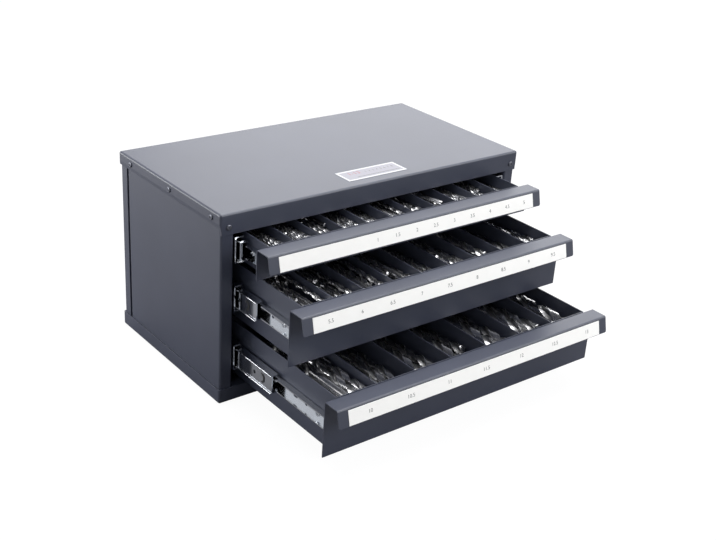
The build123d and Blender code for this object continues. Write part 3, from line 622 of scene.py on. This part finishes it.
class DRAWERCASE_OT_card(bpy.types.Operator):
    """Print the card on the top: a light border, a range of sizes and a rule under it"""

    bl_idname = "drawer_case.card"
    bl_label = "Print Card"

    def execute(self, context):
        settings = context.scene.label_print
        finish_nodes(["top_label"], vinyl_film("grey_vinyl_card", settings.card_colour, 0.55))
        low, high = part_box("top_label")
        level = high.z + PRINT_LIFT
        width, depth = high.x - low.x, high.y - low.y
        inner_left, inner_right = low.x + CARD_BORDER, high.x - CARD_BORDER
        inner_front, inner_back = low.y + CARD_BORDER, high.y - CARD_BORDER
        border = flat_quads((
            (low.x, low.y, high.x, inner_front), (low.x, inner_back, high.x, high.y),
            (low.x, inner_front, inner_left, inner_back), (inner_right, inner_front, high.x, inner_back),
        ), level)
        rule_x, rule_y = low.x + CARD_RULE_START[0] * width, low.y + CARD_RULE_START[1] * depth
        rule = flat_quads(((rule_x, rule_y, high.x - 2 * CARD_BORDER, rule_y + CARD_RULE),), level)
        white = printing_ink("pale_printing_ink", linear("B4B4B8"))
        grey = printing_ink("slate_printing_ink", linear("4A454C"))
        red = printing_ink("red_printing_ink", linear("8C4A56"))
        mesh_piece("card_border", *border, "case", white, "label_film")
        mesh_piece("card_rule", *rule, "case", grey, "label_film")
        rows = (
            # name, text, height in millimetres, its middle as shares of the card's width and depth, ink
            ("card_size_range", "1-13", 6.0, 0.24, 0.66, red),
            ("card_sizes", "1  2  3  4  5  6  7  8", 3.2, 0.66, 0.62, grey),
        )
        for name, text, tall, across, along, ink in rows:
            flat, shapes = text_mesh(text, tall * MM)
            middle = Vector((low.x + across * width, low.y + along * depth, level))
            mesh_piece(name, [middle + Vector(v) for v in flat], shapes, "case", ink, "label_film")
        return {"FINISHED"}


class DRAWERCASE_OT_bits(bpy.types.Operator):
    """Grind the flutes of every drill bit, each where its bare rod lies"""

    bl_idname = "drawer_case.bits"
    bl_label = "Grind Drill Bits"

    def execute(self, context):
        settings = context.scene.drill_steel
        steel = ground_high_speed_steel(settings)
        chance = random.Random(11)
        for drawer in DRAWERS:
            vertices, faces, depths = [], [], []
            name = f"{drawer}_drill_bits"
            for points in separate_solids(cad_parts[name]):
                shank, tip, radius = bit_axis(points)
                axis = Vector(tip - shank)
                shape, shape_faces, shape_depths = fluted_bit(radius, axis.length, settings)
                roll = Matrix.Rotation(chance.uniform(0, 6.28), 3, "Z")
                turn = axis.to_track_quat("Z", "Y").to_matrix() @ roll
                start = len(vertices)
                vertices += [turn @ Vector(v) + Vector(shank) for v in shape]
                faces += [tuple(start + v for v in face) for face in shape_faces]
                depths += shape_depths
            piece = mesh_piece(f"{drawer}_twist_bits", vertices, faces, f"{drawer}_drawer", steel, "bit_steel")
            depth = piece.data.attributes.new("flute_depth", "FLOAT", "POINT")
            depth.data.foreach_set("value", depths)
            piece.data.shade_smooth()
            piece.data.set_sharp_from_angle(angle=CREASE)
            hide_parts(name)
        return {"FINISHED"}


def white_room(scene, room_light):
    """A room that is white to the camera and in reflections, and lights the rest evenly and less."""
    world = bpy.data.worlds.new("white_room")
    world.use_nodes = True
    scene.world = world
    tree = world.node_tree
    tree.nodes.clear()
    output = node(tree, "ShaderNodeOutputWorld")
    rays = node(tree, "ShaderNodeLightPath")
    seen = node(tree, "ShaderNodeMath", {
        0: rays.outputs["Is Camera Ray"], 1: rays.outputs["Is Glossy Ray"]}, operation="ADD")
    even = node(tree, "ShaderNodeBackground", {"Color": linear("FFFFFF"), "Strength": room_light})
    white = node(tree, "ShaderNodeBackground", {"Color": linear("FFFFFF"), "Strength": 1.0})
    mixed = node(tree, "ShaderNodeMixShader", {
        0: seen.outputs[0], 1: even.outputs[0], 2: white.outputs[0]})
    tree.links.new(mixed.outputs[0], output.inputs["Surface"])


def studio_floor(scene):
    """A floor of pale paper. What the camera sees of it is mostly an even glow, and the rest takes shadows."""
    material, tree, output = new_material("white_studio_floor")
    rays = node(tree, "ShaderNodeLightPath")
    share = node(tree, "ShaderNodeMath", {
        0: rays.outputs["Is Camera Ray"], 1: FLOOR_GLOW_SHARE}, operation="MULTIPLY")
    paper = node(tree, "ShaderNodeBsdfDiffuse", {"Color": linear("88888B")})
    glow = node(tree, "ShaderNodeEmission", {"Color": linear("FFFFFF"), "Strength": 1.27})
    mixed = node(tree, "ShaderNodeMixShader", {
        0: share.outputs[0], 1: paper.outputs[0], 2: glow.outputs[0]})
    tree.links.new(mixed.outputs[0], output.inputs["Surface"])
    mesh = bpy.data.meshes.new("studio_floor")
    corners = [(x * FLOOR_HALF, y * FLOOR_HALF, 0) for x, y in ((-1, -1), (1, -1), (1, 1), (-1, 1))]
    mesh.from_pydata(corners, [], [(0, 1, 2, 3)])
    mesh.materials.append(material)
    floor = bpy.data.objects.new("studio_floor", mesh)
    floor.location.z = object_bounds()[0].z - FLOOR_DROP
    scene.collection.objects.link(floor)
    floor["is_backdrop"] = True


def softbox(scene, name, place, aim, width, height, power):
    """A rectangular lamp."""
    light = bpy.data.lights.new(name, "AREA")
    light.shape = "RECTANGLE"
    light.size, light.size_y, light.energy = width, height, power
    lamp = bpy.data.objects.new(name, light)
    lamp.location = place
    lamp.rotation_euler = (Vector(aim) - Vector(place)).to_track_quat("-Z", "Y").to_euler()
    scene.collection.objects.link(lamp)


def stand_camera(scene, settings):
    """The camera, turned by its azimuth, elevation and roll."""
    azimuth, elevation, roll = settings.camera_azimuth, settings.camera_elevation, settings.camera_roll
    back = Vector((
        math.sin(azimuth) * math.cos(elevation), -math.cos(azimuth) * math.cos(elevation), math.sin(elevation)))
    right = Vector((0, 0, 1)).cross(back).normalized()
    up = back.cross(right)
    right, up = right * math.cos(roll) + up * math.sin(roll), up * math.cos(roll) - right * math.sin(roll)
    camera = bpy.data.cameras.new("camera")
    camera.lens = settings.camera_lens
    camera.sensor_width = 36.0
    camera.clip_start, camera.clip_end = 0.05, 30.0
    viewer = bpy.data.objects.new("camera", camera)
    turn = Matrix((right, up, back)).transposed().to_4x4()
    viewer.matrix_world = Matrix.Translation(settings.camera_place) @ turn
    scene.collection.objects.link(viewer)
    scene.camera = viewer


class DRAWERCASE_OT_studio(bpy.types.Operator):
    """Set a plain pale floor, soft lamps and the camera"""

    bl_idname = "drawer_case.studio"
    bl_label = "Set Studio"

    def execute(self, context):
        scene, settings = context.scene, context.scene.studio
        scene.view_settings.view_transform = "Standard"
        white_room(scene, settings.room_light)
        studio_floor(scene)
        for lamp in SOFTBOXES:
            softbox(scene, *lamp)
        stand_camera(scene, settings)
        return {"FINISHED"}


SETTINGS = {
    "sheet_steel": SheetSteelSettings,
    "slide_metal": SlideSettings,
    "label_print": LabelSettings,
    "drill_steel": BitSettings,
    "studio": StudioSettings,
}


class DRAWERCASE_PT_sidebar(bpy.types.Panel):
    """Lists the operators, each under the settings that it reads"""

    bl_label = "Drawer Case"
    bl_idname = "DRAWERCASE_PT_sidebar"
    bl_space_type = "VIEW_3D"
    bl_region_type = "UI"
    bl_category = "Drawer Case"

    def draw(self, context):
        steps = (
            ("drawer_case.paint", "sheet_steel"),
            ("drawer_case.slides", "slide_metal"),
            ("drawer_case.labels", "label_print"),
            ("drawer_case.card", "label_print"),
            ("drawer_case.bits", "drill_steel"),
            ("drawer_case.studio", "studio"),
        )
        for operator, group in steps:
            box = self.layout.box()
            for name in SETTINGS[group].__annotations__:
                box.prop(getattr(context.scene, group), name)
            box.operator(operator)


CLASSES = (
    *SETTINGS.values(), DRAWERCASE_OT_paint, DRAWERCASE_OT_slides, DRAWERCASE_OT_labels, DRAWERCASE_OT_card,
    DRAWERCASE_OT_bits, DRAWERCASE_OT_studio, DRAWERCASE_PT_sidebar,
)


def register():
    for each in CLASSES:
        bpy.utils.register_class(each)
    for name, settings in SETTINGS.items():
        setattr(bpy.types.Scene, name, PointerProperty(type=settings))


def unregister():
    for name in SETTINGS:
        delattr(bpy.types.Scene, name)
    for each in reversed(CLASSES):
        bpy.utils.unregister_class(each)


def main():
    register()
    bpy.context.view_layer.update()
    bpy.ops.drawer_case.paint()
    bpy.ops.drawer_case.slides()
    bpy.ops.drawer_case.labels()
    bpy.ops.drawer_case.card()
    bpy.ops.drawer_case.bits()
    bpy.ops.drawer_case.studio()


if __name__ == "__main__":
    main()
